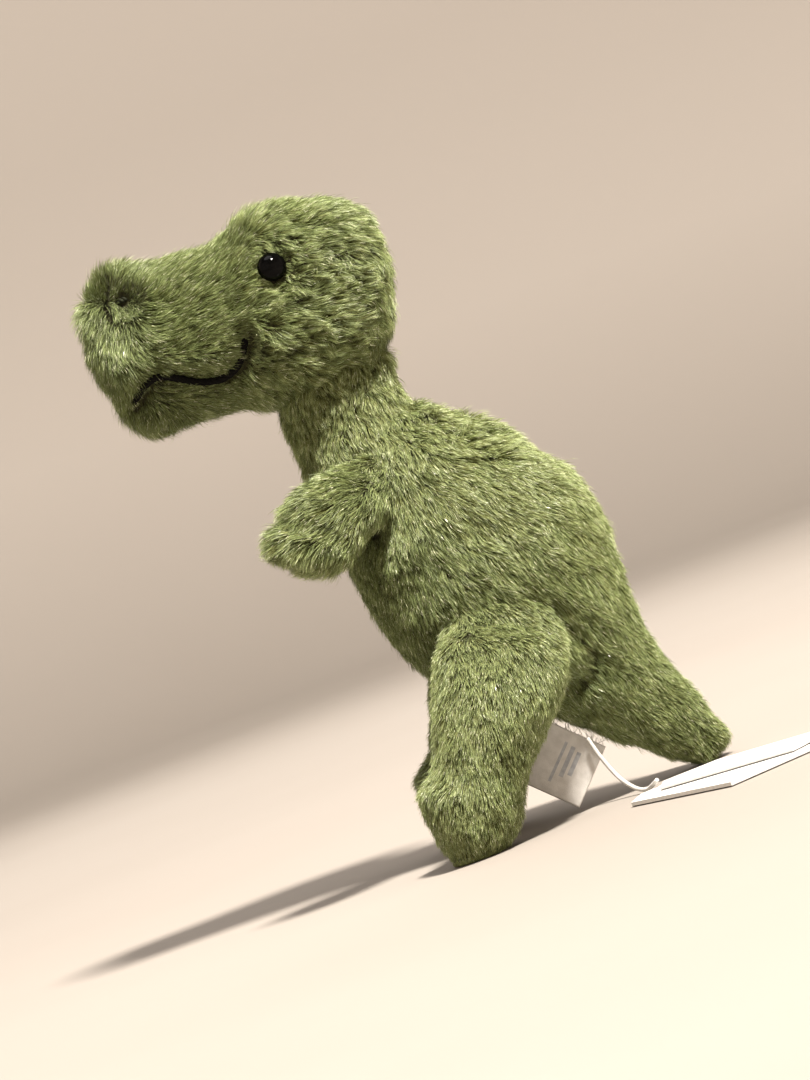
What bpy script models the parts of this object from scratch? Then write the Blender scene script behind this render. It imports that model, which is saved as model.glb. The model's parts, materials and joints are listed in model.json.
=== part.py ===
"""Stuffed dinosaur: pile-fabric covers over loose stuffing, with a neck, head, tail, arms and legs that bend.

The toy is drawn in its own side profile, in millimetres: x to its left, y towards the tail, z up the back.
The empty "stance" tips that profile back so that both soles and the tail's tip stand on the floor, z = 0.
"""

import math

import bmesh
import bpy
from mathutils import Matrix, Vector

MM = 0.001
STANCE_TILT = math.radians(-20.7)  # the profile's tilt about X
STANCE_SHIFT = (0.0, -0.0120, 0.0)  # puts the middle of the standing toy over the origin
SOLE_SINK = 1.4  # the soles and the tail's tip are pressed flat by this much
PILE_FABRIC = 2.6  # backing and packed pile
GAP = 0.35  # between pieces that touch
SIDES = 16
LIMB_CLEARANCE = 2.3
FILLING_GAP = 1.0  # the filling is drawn more coarsely than its cover

# Joints, in the profile: hinge centre (y, z), direction of the moving side, radius of the round seat, range
NECK_HINGE, NECK_DIRECTION, NECK_SEAT, NECK_BEND = (-36.0, 124.0), (-0.39, 0.92), 17.4, 15.0
TAIL_HINGE, TAIL_DIRECTION, TAIL_SEAT, TAIL_BEND = (46.0, 44.5), (0.80, -0.60), 15.8, 12.0
HEAD_TURN_CENTRE = (-38.0, 130.5)
SHOULDER, SHOULDER_SWING = (-25.0, 101.0), 25.0
HIP, HIP_SWING = (8.0, 57.0), 15.0

# Stations of each soft form: x, y, z of the centre, radius in the side profile, radius across it
TRUNK = [
    (0, 69.5, 29.0, 0, 0),
    (0, 66.5, 31.0, 7.6, 7.0),
    (0, 59.0, 36.0, 10.3, 10.0),
    (0, 47.5, 43.5, 14.5, 14.5),
    (0, 38.0, 52.0, 19.0, 19.5),
    (0, 24.0, 62.0, 26.5, 25.5),
    (0, 6.5, 76.0, 33.5, 29.5),
    (0, -9.0, 92.0, 30.0, 28.0),
    (0, -21.0, 104.0, 23.0, 23.0),
    (0, -30.5, 114.0, 18.4, 18.5),
    (0, -35.5, 124.0, 16.6, 17.0),
    (0, -38.5, 134.0, 16.4, 17.0),
    (0, -41.0, 142.0, 0, 0),
]
HEAD = [
    (0, -19.5, 157.0, 0, 0),
    (0, -24.5, 156.0, 18.0, 17.0),
    (0, -36.0, 153.0, 26.4, 25.5),
    (0, -50.0, 150.0, 28.6, 27.5),
    (0, -62.0, 146.5, 27.6, 26.0),
    (0, -74.0, 142.5, 24.4, 22.5),
    (0, -87.0, 139.5, 24.0, 20.5),
    (0, -98.0, 141.0, 20.4, 17.8),
    (0, -104.0, 143.0, 15.5, 14.0),
    (0, -107.4, 144.2, 0, 0),
]
ARM = [
    (18.0, -20.0, 104.0, 0, 0),
    (20.5, -24.5, 101.5, 8.4, 7.0),
    (24.5, -32.0, 96.0, 10.6, 8.6),
    (27.0, -41.0, 88.5, 11.8, 9.4),
    (27.5, -48.0, 82.5, 10.4, 8.8),
    (27.5, -53.5, 77.5, 0, 0),
]
LEG = [
    (26.0, 8.5, 77.0, 0, 0),
    (26.5, 8.5, 70.0, 15.0, 8.5),
    (27.5, 8.0, 58.0, 19.0, 13.0),
    (28.5, 6.5, 45.0, 18.2, 14.5),
    (29.0, 3.8, 32.0, 16.2, 14.6),
    (29.5, 1.2, 19.5, 15.6, 14.8),
    (29.5, 0.5, 7.5, 14.2, 14.4),
    (29.5, 1.5, -3.6, 0, 0),
]
POUCH = [
    (0, -14.0, 66.0, 0, 0),
    (0, -9.0, 64.0, 7.5, 11.0),
    (0, 4.0, 60.0, 9.0, 15.0),
    (0, 15.0, 55.0, 7.5, 11.0),
    (0, 20.0, 53.0, 0, 0),
]

EYE_CENTRE = (-53.5, 160.0)
EYE_TILT = math.radians(20)  # the head slopes back here, so the eye looks up a little
EYE_RADIUS, EYE_PROUD = 4.1, -1.2
SHANK_RADIUS, SHANK_LENGTH = 1.5, 7.5
WASHER_RADIUS, WASHER_THICKNESS, WASHER_DEPTH = 5.2, 1.2, 6.8
MOUTH_LINE = [
    (-93, 123),
    (-88, 128.5),
    (-82, 130),
    (-74, 129.2),
    (-67, 130.5),
    (-62, 134.5),
    (-60.5, 140.5),
]
STITCH_RADIUS = 0.8
NOSTRIL_CENTRE = (-94.0, 155.5)
NOSTRIL_RADIUS, NOSTRIL_DEPTH = 2.2, 2.2
NOSTRIL_OUT = {side: Vector((side * 0.55, 0, 0.8)) for side in (1, -1)}
HEAD_GUSSET, BELLY_GUSSET = 9.0, 10.0  # half widths
GUSSET_LINE = [(-125, 147), (-93, 147), (-64, 160), (-40, 160), (-28, 150), (-5, 150)]
LABEL_HINGE = (29.0, 34.0)
LABEL_X, LABEL_WIDTH, LABEL_LENGTH, LABEL_THICKNESS = 9.5, 16.5, 18.0, 0.8
LABEL_LEAN = math.radians(-24.0)
SOLE_RADIUS, SOLE_THICKNESS, SOLE_Y = 7.6, 1.6, -9.3
CLOSING_STITCH = (4.9, 5.7)  # places along the trunk

# Swing cards, standing frame, mm: they lie on the floor behind the left foot
RIBBON_RADIUS = 0.6
RIBBON_ROUTE = [
    (12.4, 29.0, 18.5),
    (13.2, 30.5, 12.5),
    (15.0, 33.0, 6.0),
    (19.0, 36.0, 2.0),
    (25.0, 38.5, 1.0),
    (31.0, 40.0, 2.0),
    (35.0, 41.5, 3.2),
]
BOOKLET = [(-5.5, 0), (5.5, 0), (15, 10), (15, 60), (-15, 60), (-15, 10)]
PRICE_CARD = [(0, 0), (13, 9), (13, 54), (-13, 54), (-13, 9)]


def clear_scene():
    for old in list(bpy.data.objects):
        bpy.data.objects.remove(old, do_unlink=True)


def collection(name):
    made = bpy.data.collections.new(name)
    bpy.context.scene.collection.children.link(made)
    return made


def material(name, colour, roughness, metallic=0.0):
    made = bpy.data.materials.new(name)
    made.use_nodes = True
    shader = made.node_tree.nodes["Principled BSDF"]
    shader.inputs["Base Color"].default_value = (*colour, 1.0)
    shader.inputs["Roughness"].default_value = roughness
    shader.inputs["Metallic"].default_value = metallic
    return made


def new_object(name, mesh, where, made_of=None):
    """An object drawn in the profile and carried by the stance."""
    mesh.shade_smooth()
    mesh.set_sharp_from_angle(angle=math.radians(50))
    obj = bpy.data.objects.new(name, mesh)
    where.objects.link(obj)
    obj.parent = stance
    if made_of:
        obj.data.materials.append(made_of)
    if where is cutters:
        obj.hide_render = True
        obj.display_type = "WIRE"
    return obj


def mesh_from(bm, name):
    bmesh.ops.recalc_face_normals(bm, faces=bm.faces)
    mesh = bpy.data.meshes.new(name)
    bm.to_mesh(mesh)
    bm.free()
    return mesh


def between(stations, place):
    """The station at a fractional place along the list, on a curve through the centres and squared radii."""
    last = len(stations) - 1
    i = min(int(place), last - 1)
    t = place - i
    around = [stations[max(0, min(last, i + k))] for k in (-1, 0, 1, 2)]
    weights = (
        (-t**3 + 2 * t**2 - t) / 2,
        (3 * t**3 - 5 * t**2 + 2) / 2,
        (-3 * t**3 + 4 * t**2 + t) / 2,
        (t**3 - t**2) / 2,
    )
    squared = [(x, y, z, tall**2, wide**2) for x, y, z, tall, wide in around]
    x, y, z, tall, wide = (sum(w * s[k] for w, s in zip(weights, squared)) for k in range(5))
    return Vector((x, y, z)), math.sqrt(max(tall, 0)), math.sqrt(max(wide, 0))


def soft_form(name, stations, side=1, per_span=2):
    """A closed loft of elliptical rings along the stations, with a point at each end."""
    bm = bmesh.new()
    steps = (len(stations) - 1) * per_span
    rings = []
    for step in range(steps + 1):
        centre, tall, wide = between(stations, step / per_span)
        ahead, _, _ = between(stations, min(step / per_span + 0.25, len(stations) - 1))
        behind, _, _ = between(stations, max(step / per_span - 0.25, 0))
        along = (ahead - behind).normalized()
        across = (Vector((1, 0, 0)) - along * along.x).normalized()
        up = along.cross(across)
        mirror = Vector((side, 1, 1)) * MM
        if step in (0, steps):
            rings.append([bm.verts.new(centre * mirror)])
            continue
        turns = [2 * math.pi * k / SIDES for k in range(SIDES)]
        ring = [centre + across * (wide * math.cos(a)) + up * (tall * math.sin(a)) for a in turns]
        rings.append([bm.verts.new(point * mirror) for point in ring])
    for low, high in zip(rings, rings[1:]):
        for k in range(SIDES):
            corners = [low[k % len(low)], low[(k + 1) % len(low)]]
            corners += [high[(k + 1) % len(high)], high[k % len(high)]]
            bm.faces.new(list(dict.fromkeys(corners)))
    return mesh_from(bm, name)


def outline_prism(name, outline, x_low, x_high):
    """A closed prism across the toy from an outline of (y, z) points."""
    bm = bmesh.new()
    face = bm.faces.new([bm.verts.new(Vector((x_low, y, z)) * MM) for y, z in outline])
    grown = bmesh.ops.extrude_face_region(bm, geom=[face])
    moved = [v for v in grown["geom"] if isinstance(v, bmesh.types.BMVert)]
    bmesh.ops.translate(bm, verts=moved, vec=Vector((x_high - x_low, 0, 0)) * MM)
    return mesh_from(bm, name)


def cylinder(name, centre, axis, radius, length, segments=24):
    bm = bmesh.new()
    bmesh.ops.create_cone(
        bm, cap_ends=True, segments=segments, radius1=radius * MM, radius2=radius * MM, depth=length * MM
    )
    turn = Vector(axis).to_track_quat("Z", "Y").to_matrix().to_4x4()
    bmesh.ops.transform(bm, matrix=Matrix.Translation(Vector(centre) * MM) @ turn, verts=bm.verts)
    return mesh_from(bm, name)


def boolean(obj, operation, cutter):
    step = obj.modifiers.new(f"{operation.lower()} {cutter.name}", "BOOLEAN")
    step.operation = operation
    step.object = cutter
    step.solver = "EXACT"


def evaluated_mesh(obj, name):
    bpy.context.view_layer.update()
    shape = obj.evaluated_get(bpy.context.evaluated_depsgraph_get())
    return bpy.data.meshes.new_from_object(shape)


def seat_outline(hinge, direction, radius, reach=95.0, segments=24):
    """Half a disc about the hinge with a long slab beyond it, on the moving piece's side."""
    along = Vector(direction).normalized()
    across = Vector((along.y, -along.x))
    centre = Vector(hinge)
    turns = [math.pi * k / segments for k in range(segments + 1)]
    arc = [centre + across * (radius * math.cos(a)) - along * (radius * math.sin(a)) for a in turns]
    return [tuple(p) for p in [*arc, arc[-1] + along * reach, arc[0] + along * reach]]


def seat_cutter(name, hinge, direction, radius):
    return new_object(name, outline_prism(name, seat_outline(hinge, direction, radius), -60, 60), cutters)


def turned_about(hinge, degrees):
    centre = Vector((0, hinge[0], hinge[1])) * MM
    turn = Matrix.Rotation(math.radians(degrees), 4, "X")
    return Matrix.Translation(centre) @ turn @ Matrix.Translation(-centre)


def sweep_cutter(name, stations, side, hinge, swing, steps=3):
    """The space that a limb needs as it swings: the limb, a little swollen, at each step of its range."""
    sweep = None
    for step in range(steps + 1):
        mesh = soft_form(name, stations, side, per_span=1)
        mesh.transform(turned_about(hinge, -swing + 2 * swing * step / steps))
        pose = new_object(f"{name}_{step}", mesh, cutters)
        swell = pose.modifiers.new("clearance", "DISPLACE")
        swell.strength = LIMB_CLEARANCE * MM
        swell.mid_level = 0.0
        if sweep:
            boolean(sweep, "UNION", pose)
        else:
            sweep = pose
    return new_object(name, evaluated_mesh(sweep, name), cutters)


def cover(name, stations, made_of, cuts, keeps=(), side=1):
    """A pile-fabric cover: the form's surface thickened inwards, cut open at its joints."""
    obj = new_object(name, soft_form(name, stations, side), parts, made_of)
    shell = obj.modifiers.new("fabric", "SOLIDIFY")
    shell.thickness = PILE_FABRIC * MM
    shell.offset = -1.0
    for cutter in keeps:
        boolean(obj, "INTERSECT", cutter)
    for cutter in cuts:
        boolean(obj, "DIFFERENCE", cutter)
    return obj


def filling(name, stations, made_of, cuts, keeps=(), side=1):
    """Stuffing: the same form, more coarsely, inside its cover."""
    obj = new_object(name, soft_form(name, stations, side, per_span=1), parts, made_of)
    shrink = obj.modifiers.new("inside the fabric", "DISPLACE")
    shrink.strength = -(PILE_FABRIC + FILLING_GAP) * MM
    shrink.mid_level = 0.0
    for cutter in keeps:
        boolean(obj, "INTERSECT", cutter)
    for cutter in cuts:
        boolean(obj, "DIFFERENCE", cutter)
    return obj


def tube(name, points, radius, made_of, parent=None):
    """A thread or ribbon: a bevelled curve through a few points."""
    curve = bpy.data.curves.new(name, "CURVE")
    curve.dimensions = "3D"
    curve.bevel_depth = radius * MM
    curve.bevel_resolution = 2
    curve.use_fill_caps = True
    smooth = [between([(*p, 0, 0) for p in points], k / 3)[0] for k in range(3 * (len(points) - 1) + 1)]
    line = curve.splines.new("POLY")
    line.points.add(len(smooth) - 1)
    for point, place in zip(line.points, smooth):
        point.co = (*(place * MM), 1.0)
    obj = bpy.data.objects.new(name, curve)
    parts.objects.link(obj)
    curve.materials.append(made_of)
    obj.parent = parent
    return obj


def head_half_width(y, z):
    """How far the head's surface stands from the middle plane at a point of the profile."""
    best = min((k / 40 for k in range(40 * (len(HEAD) - 1))), key=lambda p: abs(between(HEAD, p)[0].y - y))
    centre, tall, wide = between(HEAD, best)
    return wide * math.sqrt(max(0.0, 1 - ((z - centre.z) / tall) ** 2))


def back_point(place, proud):
    """A point over the seam down the toy's back, at a place along the trunk."""
    centre, tall, _ = between(TRUNK, place)
    along = (between(TRUNK, place + 0.25)[0] - between(TRUNK, place - 0.25)[0]).normalized()
    return centre + along.cross(Vector((1, 0, 0))) * (tall + proud)


clear_scene()
parts = collection("stuffed_dinosaur")
cutters = collection("cutters")

stance = bpy.data.objects.new("stance", None)
parts.objects.link(stance)
stance.rotation_euler.x = STANCE_TILT
stance.location = Vector(STANCE_SHIFT) - Vector((0, 0, SOLE_SINK * MM))

pile = material("green_pile", (0.19, 0.26, 0.07), 0.9)
stuffing = material("polyester_stuffing", (0.86, 0.86, 0.84), 0.95)
bead = material("black_bead", (0.01, 0.01, 0.01), 0.08)
plastic = material("clear_plastic", (0.75, 0.75, 0.72), 0.35)
thread = material("black_thread", (0.015, 0.013, 0.012), 0.7)
green_thread = material("green_thread", (0.14, 0.2, 0.06), 0.7)
satin = material("white_satin", (0.82, 0.83, 0.84), 0.4)
card = material("white_card", (0.85, 0.85, 0.84), 0.6)
pouch_cloth = material("pouch_cloth", (0.7, 0.69, 0.64), 0.85)


# Cutters
def build_cutters():
    made = {}
    big = 250.0
    neck_clear = NECK_SEAT / math.cos(math.radians(NECK_BEND)) + GAP
    tail_clear = TAIL_SEAT / math.cos(math.radians(TAIL_BEND)) + GAP
    made["neck_keep"] = seat_cutter("neck_keep", NECK_HINGE, NECK_DIRECTION, NECK_SEAT)
    made["neck_clear"] = seat_cutter("neck_clear", NECK_HINGE, NECK_DIRECTION, neck_clear)
    made["tail_keep"] = seat_cutter("tail_keep", TAIL_HINGE, TAIL_DIRECTION, TAIL_SEAT)
    made["tail_clear"] = seat_cutter("tail_clear", TAIL_HINGE, TAIL_DIRECTION, tail_clear)
    along = Vector(NECK_DIRECTION).normalized()
    across = Vector((along.y, -along.x))
    for name, gap in (("head_clear", GAP / 2), ("neck_top_clear", -GAP / 2)):
        foot = Vector(HEAD_TURN_CENTRE) + along * gap
        way = 1 if name == "head_clear" else -1
        corners = [foot + across * big, foot - across * big]
        outline = [*corners, corners[1] + along * big * way, corners[0] + along * big * way]
        made[name] = new_object(name, outline_prism(name, [tuple(p) for p in outline], -90, 90), cutters)
    for side, hand in hands:
        made[f"arm_{hand}"] = sweep_cutter(f"arm_sweep_{hand}", ARM, side, SHOULDER, SHOULDER_SWING)
        made[f"leg_{hand}"] = sweep_cutter(f"leg_sweep_{hand}", LEG, side, HIP, HIP_SWING)
        for bend in (-1, 0, 1):
            notch = made[f"arm_{hand}"].data.copy()
            notch.transform(turned_about(NECK_HINGE, bend * NECK_BEND))
            made[f"neck_notch_{hand}_{bend}"] = new_object(f"neck_notch_{hand}_{bend}", notch, cutters)
        arm_mouth = cylinder("arm_mouth", (side * 15.5, *SHOULDER), (1, 0, 0), 6.0, 14.0)
        made[f"arm_mouth_{hand}"] = new_object(f"arm_mouth_{hand}", arm_mouth, cutters)
        leg_mouth = cylinder("leg_mouth", (side * 13.0, *HIP), (1, 0, 0), 11.0, 16.0)
        made[f"leg_mouth_{hand}"] = new_object(f"leg_mouth_{hand}", leg_mouth, cutters)
        low, high = sorted((side * GAP / 2, side * 80))
        half = [(-150, -20), (150, -20), (150, 220), (-150, 220)]
        made[f"half_{hand}"] = new_object(f"half_{hand}", outline_prism("half", half, low, high), cutters)
    gusset = [*GUSSET_LINE, (-5, 220), (-125, 220)]
    middle = outline_prism("gusset", gusset, -HEAD_GUSSET, HEAD_GUSSET)
    made["head_gusset"] = new_object("head_gusset_keep", middle, cutters)
    wide = HEAD_GUSSET + GAP
    lowered = [(y, z - GAP) for y, z in GUSSET_LINE]
    around = [*lowered, (-5, 220), (-125, 220)]
    opening = outline_prism("gusset", around, -wide, wide)
    made["head_gusset_clear"] = new_object("head_gusset_cut", opening, cutters)
    belly = [(-120, 150), (-20, 92), (8, 66), (30, 50), (60, 20), (60, -20), (-120, -20)]
    middle = outline_prism("belly", belly, -BELLY_GUSSET, BELLY_GUSSET)
    made["belly_gusset"] = new_object("belly_keep", middle, cutters)
    wide = BELLY_GUSSET + GAP
    raised = [(y, z + GAP) for y, z in belly]
    opening = outline_prism("belly", raised, -wide, wide)
    made["belly_gusset_clear"] = new_object("belly_cut", opening, cutters)
    return made


def level_slab(name, z_low, z_high):
    """A cutter that is level in the standing frame."""
    bm = bmesh.new()
    bmesh.ops.create_cube(bm, size=1.0)
    bmesh.ops.scale(bm, vec=Vector((300, 400, z_high - z_low)) * MM, verts=bm.verts)
    bmesh.ops.translate(bm, vec=Vector((0, 0, (z_low + z_high) / 2)) * MM, verts=bm.verts)
    slab = new_object(name, mesh_from(bm, name), cutters)
    slab.parent = None
    return slab


hands = ((1, "left"), (-1, "right"))
cut = build_cutters()
cut["floor"] = level_slab("floor", -60, 0)
cut["above_soles"] = level_slab("above_soles", -60, SOLE_THICKNESS + GAP)


# Head: two side panels and a gusset over loose stuffing
def eye_place(side, depth):
    """A point on the eye's axis, this far under the fabric's surface."""
    out = Vector((side * math.cos(EYE_TILT), 0, math.sin(EYE_TILT)))
    return Vector((side * head_half_width(*EYE_CENTRE), *EYE_CENTRE)) - out * depth, out


def eye_disc(name, side, depth, radius, length, segments=20):
    centre, out = eye_place(side, depth)
    return cylinder(name, centre, out, radius, length, segments)


def ball(name, centre, radius, axis):
    bm = bmesh.new()
    bmesh.ops.create_uvsphere(bm, u_segments=16, v_segments=10, radius=radius * MM)
    turn = Vector(axis).to_track_quat("Z", "Y").to_matrix().to_4x4()
    bmesh.ops.transform(bm, matrix=Matrix.Translation(Vector(centre) * MM) @ turn, verts=bm.verts)
    return mesh_from(bm, name)


def build_head():
    holes = []
    pockets = []
    for side, hand in hands:
        hole = eye_disc("hole", side, 4, SHANK_RADIUS + GAP, 20)
        holes.append(new_object(f"eye_hole_{hand}", hole, cutters))
        centre, out = eye_place(side, -EYE_PROUD)
        holes.append(new_object(f"eye_bowl_{hand}", ball("bowl", centre, EYE_RADIUS + GAP, out), cutters))
        nostril = (side * head_half_width(*NOSTRIL_CENTRE), *NOSTRIL_CENTRE)
        pit = cylinder("pit", nostril, NOSTRIL_OUT[side], NOSTRIL_RADIUS, 2 * NOSTRIL_DEPTH, 16)
        holes.append(new_object(f"nostril_pit_{hand}", pit, cutters))
        pocket = eye_disc("pocket", side, WASHER_DEPTH - 1 + 6, WASHER_RADIUS + GAP, 12)
        pockets.append(new_object(f"washer_pocket_{hand}", pocket, cutters))
    for _, hand in hands:
        cuts = [cut["head_gusset_clear"], *holes]
        cover(f"head_panel_{hand}", HEAD, pile, cuts, [cut["head_clear"], cut[f"half_{hand}"]])
    cover("head_gusset", HEAD, pile, holes, [cut["head_clear"], cut["head_gusset"]])
    filling("head_stuffing", HEAD, stuffing, [*pockets, *holes], [cut["head_clear"]])
    for side, hand in hands:
        build_eye(side, hand)
        line = [(side * (head_half_width(y, z) + STITCH_RADIUS + 1.0), y, z) for y, z in MOUTH_LINE]
        tube(f"mouth_stitch_{hand}", line, STITCH_RADIUS, thread, stance)
        nostril = Vector((side * head_half_width(*NOSTRIL_CENTRE), *NOSTRIL_CENTRE))
        pit_floor = nostril - NOSTRIL_OUT[side].normalized() * (NOSTRIL_DEPTH - GAP - STITCH_RADIUS)
        ends = [pit_floor + Vector((0, way * 1.0, 0)) for way in (-1, 0, 1)]
        tube(f"nostril_stitch_{hand}", ends, STITCH_RADIUS, green_thread, stance)


def build_eye(side, hand):
    """A bead with its shank, and the lock washer inside the fabric."""
    centre, out = eye_place(side, -EYE_PROUD)
    eye = new_object(f"eye_{hand}", ball("eye", centre, EYE_RADIUS, out), parts, bead)
    shank = eye_disc("shank", side, SHANK_LENGTH / 2 + 3, SHANK_RADIUS, SHANK_LENGTH, 14)
    boolean(eye, "UNION", new_object(f"shank_{hand}", shank, cutters))
    disc = eye_disc("washer", side, WASHER_DEPTH, WASHER_RADIUS, WASHER_THICKNESS)
    washer = new_object(f"eye_washer_{hand}", disc, parts, plastic)
    bore = eye_disc("bore", side, WASHER_DEPTH, SHANK_RADIUS + GAP, 6, 14)
    boolean(washer, "DIFFERENCE", new_object(f"washer_bore_{hand}", bore, cutters))


# Neck, body and tail: one long form, cut where it bends
def build_trunk():
    neck_keeps = [cut["neck_keep"], cut["neck_top_clear"]]
    notches = [cut[f"neck_notch_{hand}_{bend}"] for _, hand in hands for bend in (-1, 0, 1)]
    cover("neck_sleeve", TRUNK, pile, notches, neck_keeps)
    filling("neck_stuffing", TRUNK, stuffing, notches, neck_keeps)
    limbs = [cut[f"{limb}_{hand}"] for limb in ("arm", "leg") for _, hand in hands]
    joints = [cut["neck_clear"], cut["tail_clear"]]
    for _, hand in hands:
        cuts = [cut["belly_gusset_clear"], *joints, cut[f"arm_{hand}"], cut[f"leg_{hand}"]]
        cover(f"body_panel_{hand}", TRUNK, pile, cuts, [cut[f"half_{hand}"]])
        cover(f"tail_panel_{hand}", TRUNK, pile, [cut["floor"]], [cut["tail_keep"], cut[f"half_{hand}"]])
    cover("belly_gusset", TRUNK, pile, [*joints, *limbs], [cut["belly_gusset"]])
    pocket = new_object("pouch_pocket", soft_form("pocket", POUCH), cutters)
    swell = pocket.modifiers.new("clearance", "DISPLACE")
    swell.strength = 0.5 * MM
    swell.mid_level = 0.0
    way_out = outline_prism("way_out", [(-2, 58), (8, 54), (4, 20), (-6, 20)], -4, 4)
    boolean(pocket, "UNION", new_object("pouch_way_out", way_out, cutters))
    filling("body_stuffing", TRUNK, stuffing, [*joints, *limbs, pocket])
    filling("tail_stuffing", TRUNK, stuffing, [cut["above_soles"]], [cut["tail_keep"]])
    new_object("bead_pouch", soft_form("bead_pouch", POUCH), parts, pouch_cloth)


# Arms and legs: a cover open at its joint, stuffing, and a sole under each foot
def build_limbs():
    for side, hand in hands:
        cover(f"arm_cover_{hand}", ARM, pile, [cut[f"arm_mouth_{hand}"]], (), side)
        filling(f"arm_stuffing_{hand}", ARM, stuffing, [], (), side)
        sole_centre = (side * LEG[-2][0], SOLE_Y, 0)
        hole = cylinder("sole_hole", sole_centre, (0, 0, 1), SOLE_RADIUS + GAP, 2 * (SOLE_THICKNESS + GAP))
        sole_hole = new_object(f"sole_hole_{hand}", hole, cutters)
        sole_hole.parent = None
        cuts = [cut["floor"], cut[f"leg_mouth_{hand}"], sole_hole]
        cover(f"leg_cover_{hand}", LEG, pile, cuts, (), side)
        filling(f"leg_stuffing_{hand}", LEG, stuffing, [cut["above_soles"]], (), side)
        middle = (side * LEG[-2][0], SOLE_Y, SOLE_THICKNESS / 2)
        disc = cylinder("sole", middle, (0, 0, 1), SOLE_RADIUS, SOLE_THICKNESS)
        sole = new_object(f"sole_{hand}", disc, parts, pile)
        sole.parent = None


# Label, closing stitch, and the swing cards on their ribbon
def build_trim():
    bm = bmesh.new()
    bmesh.ops.create_cube(bm, size=1.0)
    bmesh.ops.scale(bm, vec=Vector((LABEL_THICKNESS, LABEL_WIDTH, LABEL_LENGTH)) * MM, verts=bm.verts)
    bmesh.ops.translate(bm, vec=Vector((0, 0, -LABEL_LENGTH / 2)) * MM, verts=bm.verts)
    turn = Matrix.Translation(Vector((LABEL_X, *LABEL_HINGE)) * MM) @ Matrix.Rotation(LABEL_LEAN, 4, "X")
    bmesh.ops.transform(bm, matrix=turn, verts=bm.verts)
    new_object("sewn_label", mesh_from(bm, "label"), parts, satin)
    places = [CLOSING_STITCH[0] + (CLOSING_STITCH[1] - CLOSING_STITCH[0]) * k / 5 for k in range(6)]
    tube("closing_stitch", [back_point(p, 1.3) for p in places], 0.5, green_thread, stance)
    tube("card_ribbon", RIBBON_ROUTE, RIBBON_RADIUS, satin)
    lay_card("booklet_card", BOOKLET, (33.0, 41.0), math.radians(-62), 0.35, 1.0)
    lay_card("price_card", PRICE_CARD, (33.0, 43.0), math.radians(-42), 1.7, 0.5)


def lay_card(name, outline, place, turn, z_low, thickness):
    curve = bpy.data.curves.new(name, "CURVE")
    curve.dimensions = "2D"
    curve.fill_mode = "BOTH"
    curve.extrude = thickness / 2 * MM
    line = curve.splines.new("POLY")
    line.points.add(len(outline) - 1)
    line.use_cyclic_u = True
    for point, (across, down) in zip(line.points, outline):
        point.co = (across * MM, down * MM, 0, 1)
    obj = bpy.data.objects.new(name, curve)
    parts.objects.link(obj)
    curve.materials.append(card)
    obj.location = Vector((*place, z_low + thickness / 2)) * MM
    obj.rotation_euler.z = turn


build_head()
build_trunk()
build_limbs()
build_trim()
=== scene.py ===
import json
import math
from collections import namedtuple

import bpy
import numpy as np
from mathutils import Matrix, Vector
from mathutils.bvhtree import BVHTree
from mathutils.kdtree import KDTree


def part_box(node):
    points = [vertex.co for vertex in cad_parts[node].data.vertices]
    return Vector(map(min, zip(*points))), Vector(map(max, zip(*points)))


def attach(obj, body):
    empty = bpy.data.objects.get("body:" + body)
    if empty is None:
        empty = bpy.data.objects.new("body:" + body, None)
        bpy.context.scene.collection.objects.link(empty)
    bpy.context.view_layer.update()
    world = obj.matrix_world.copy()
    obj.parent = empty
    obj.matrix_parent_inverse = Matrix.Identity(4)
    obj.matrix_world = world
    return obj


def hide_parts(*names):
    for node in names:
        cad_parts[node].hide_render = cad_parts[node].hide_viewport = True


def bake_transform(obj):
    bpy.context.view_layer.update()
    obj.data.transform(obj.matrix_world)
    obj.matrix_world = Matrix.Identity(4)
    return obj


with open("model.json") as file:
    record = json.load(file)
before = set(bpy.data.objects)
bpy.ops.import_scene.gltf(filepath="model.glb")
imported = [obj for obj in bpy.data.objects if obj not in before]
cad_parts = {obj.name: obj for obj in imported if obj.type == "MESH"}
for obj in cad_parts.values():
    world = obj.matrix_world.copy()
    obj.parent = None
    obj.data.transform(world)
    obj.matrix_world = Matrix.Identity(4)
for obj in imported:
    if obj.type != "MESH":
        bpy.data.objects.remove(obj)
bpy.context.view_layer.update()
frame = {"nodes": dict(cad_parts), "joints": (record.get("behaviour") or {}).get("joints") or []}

# The toy is shaped in its own side profile, in millimetres: x to its left, y towards the tail, z up the back.
# STANCE carries that profile into the frame, where the toy stands on its soles and the tip of its tail.
MM = 0.001
STANCE_TILT = math.radians(-20.7)
HIP_PROFILE = Vector((0, 8.0, 57.0))
HIP_FRAME = Vector(next(j["pos_m"] for j in frame["joints"] if j["name"] == "hip_left")) * Vector((0, 1, 1))
TILT = Matrix.Rotation(STANCE_TILT, 3, "X")
STANCE = Matrix.Translation(HIP_FRAME - TILT @ HIP_PROFILE * MM) @ TILT.to_4x4() @ Matrix.Scale(MM, 4)

PILE = 2.6  # how far the tips of the lying pile stand over the backing
STRANDS_PER_MM2 = 12.5
STRAND_WIDTH = 0.118
STRANDS_PER_PIECE = 36000
BACKING_CLEAR = 0.0009  # metres over the floor
PILE_CLEAR = 0.00025

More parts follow.
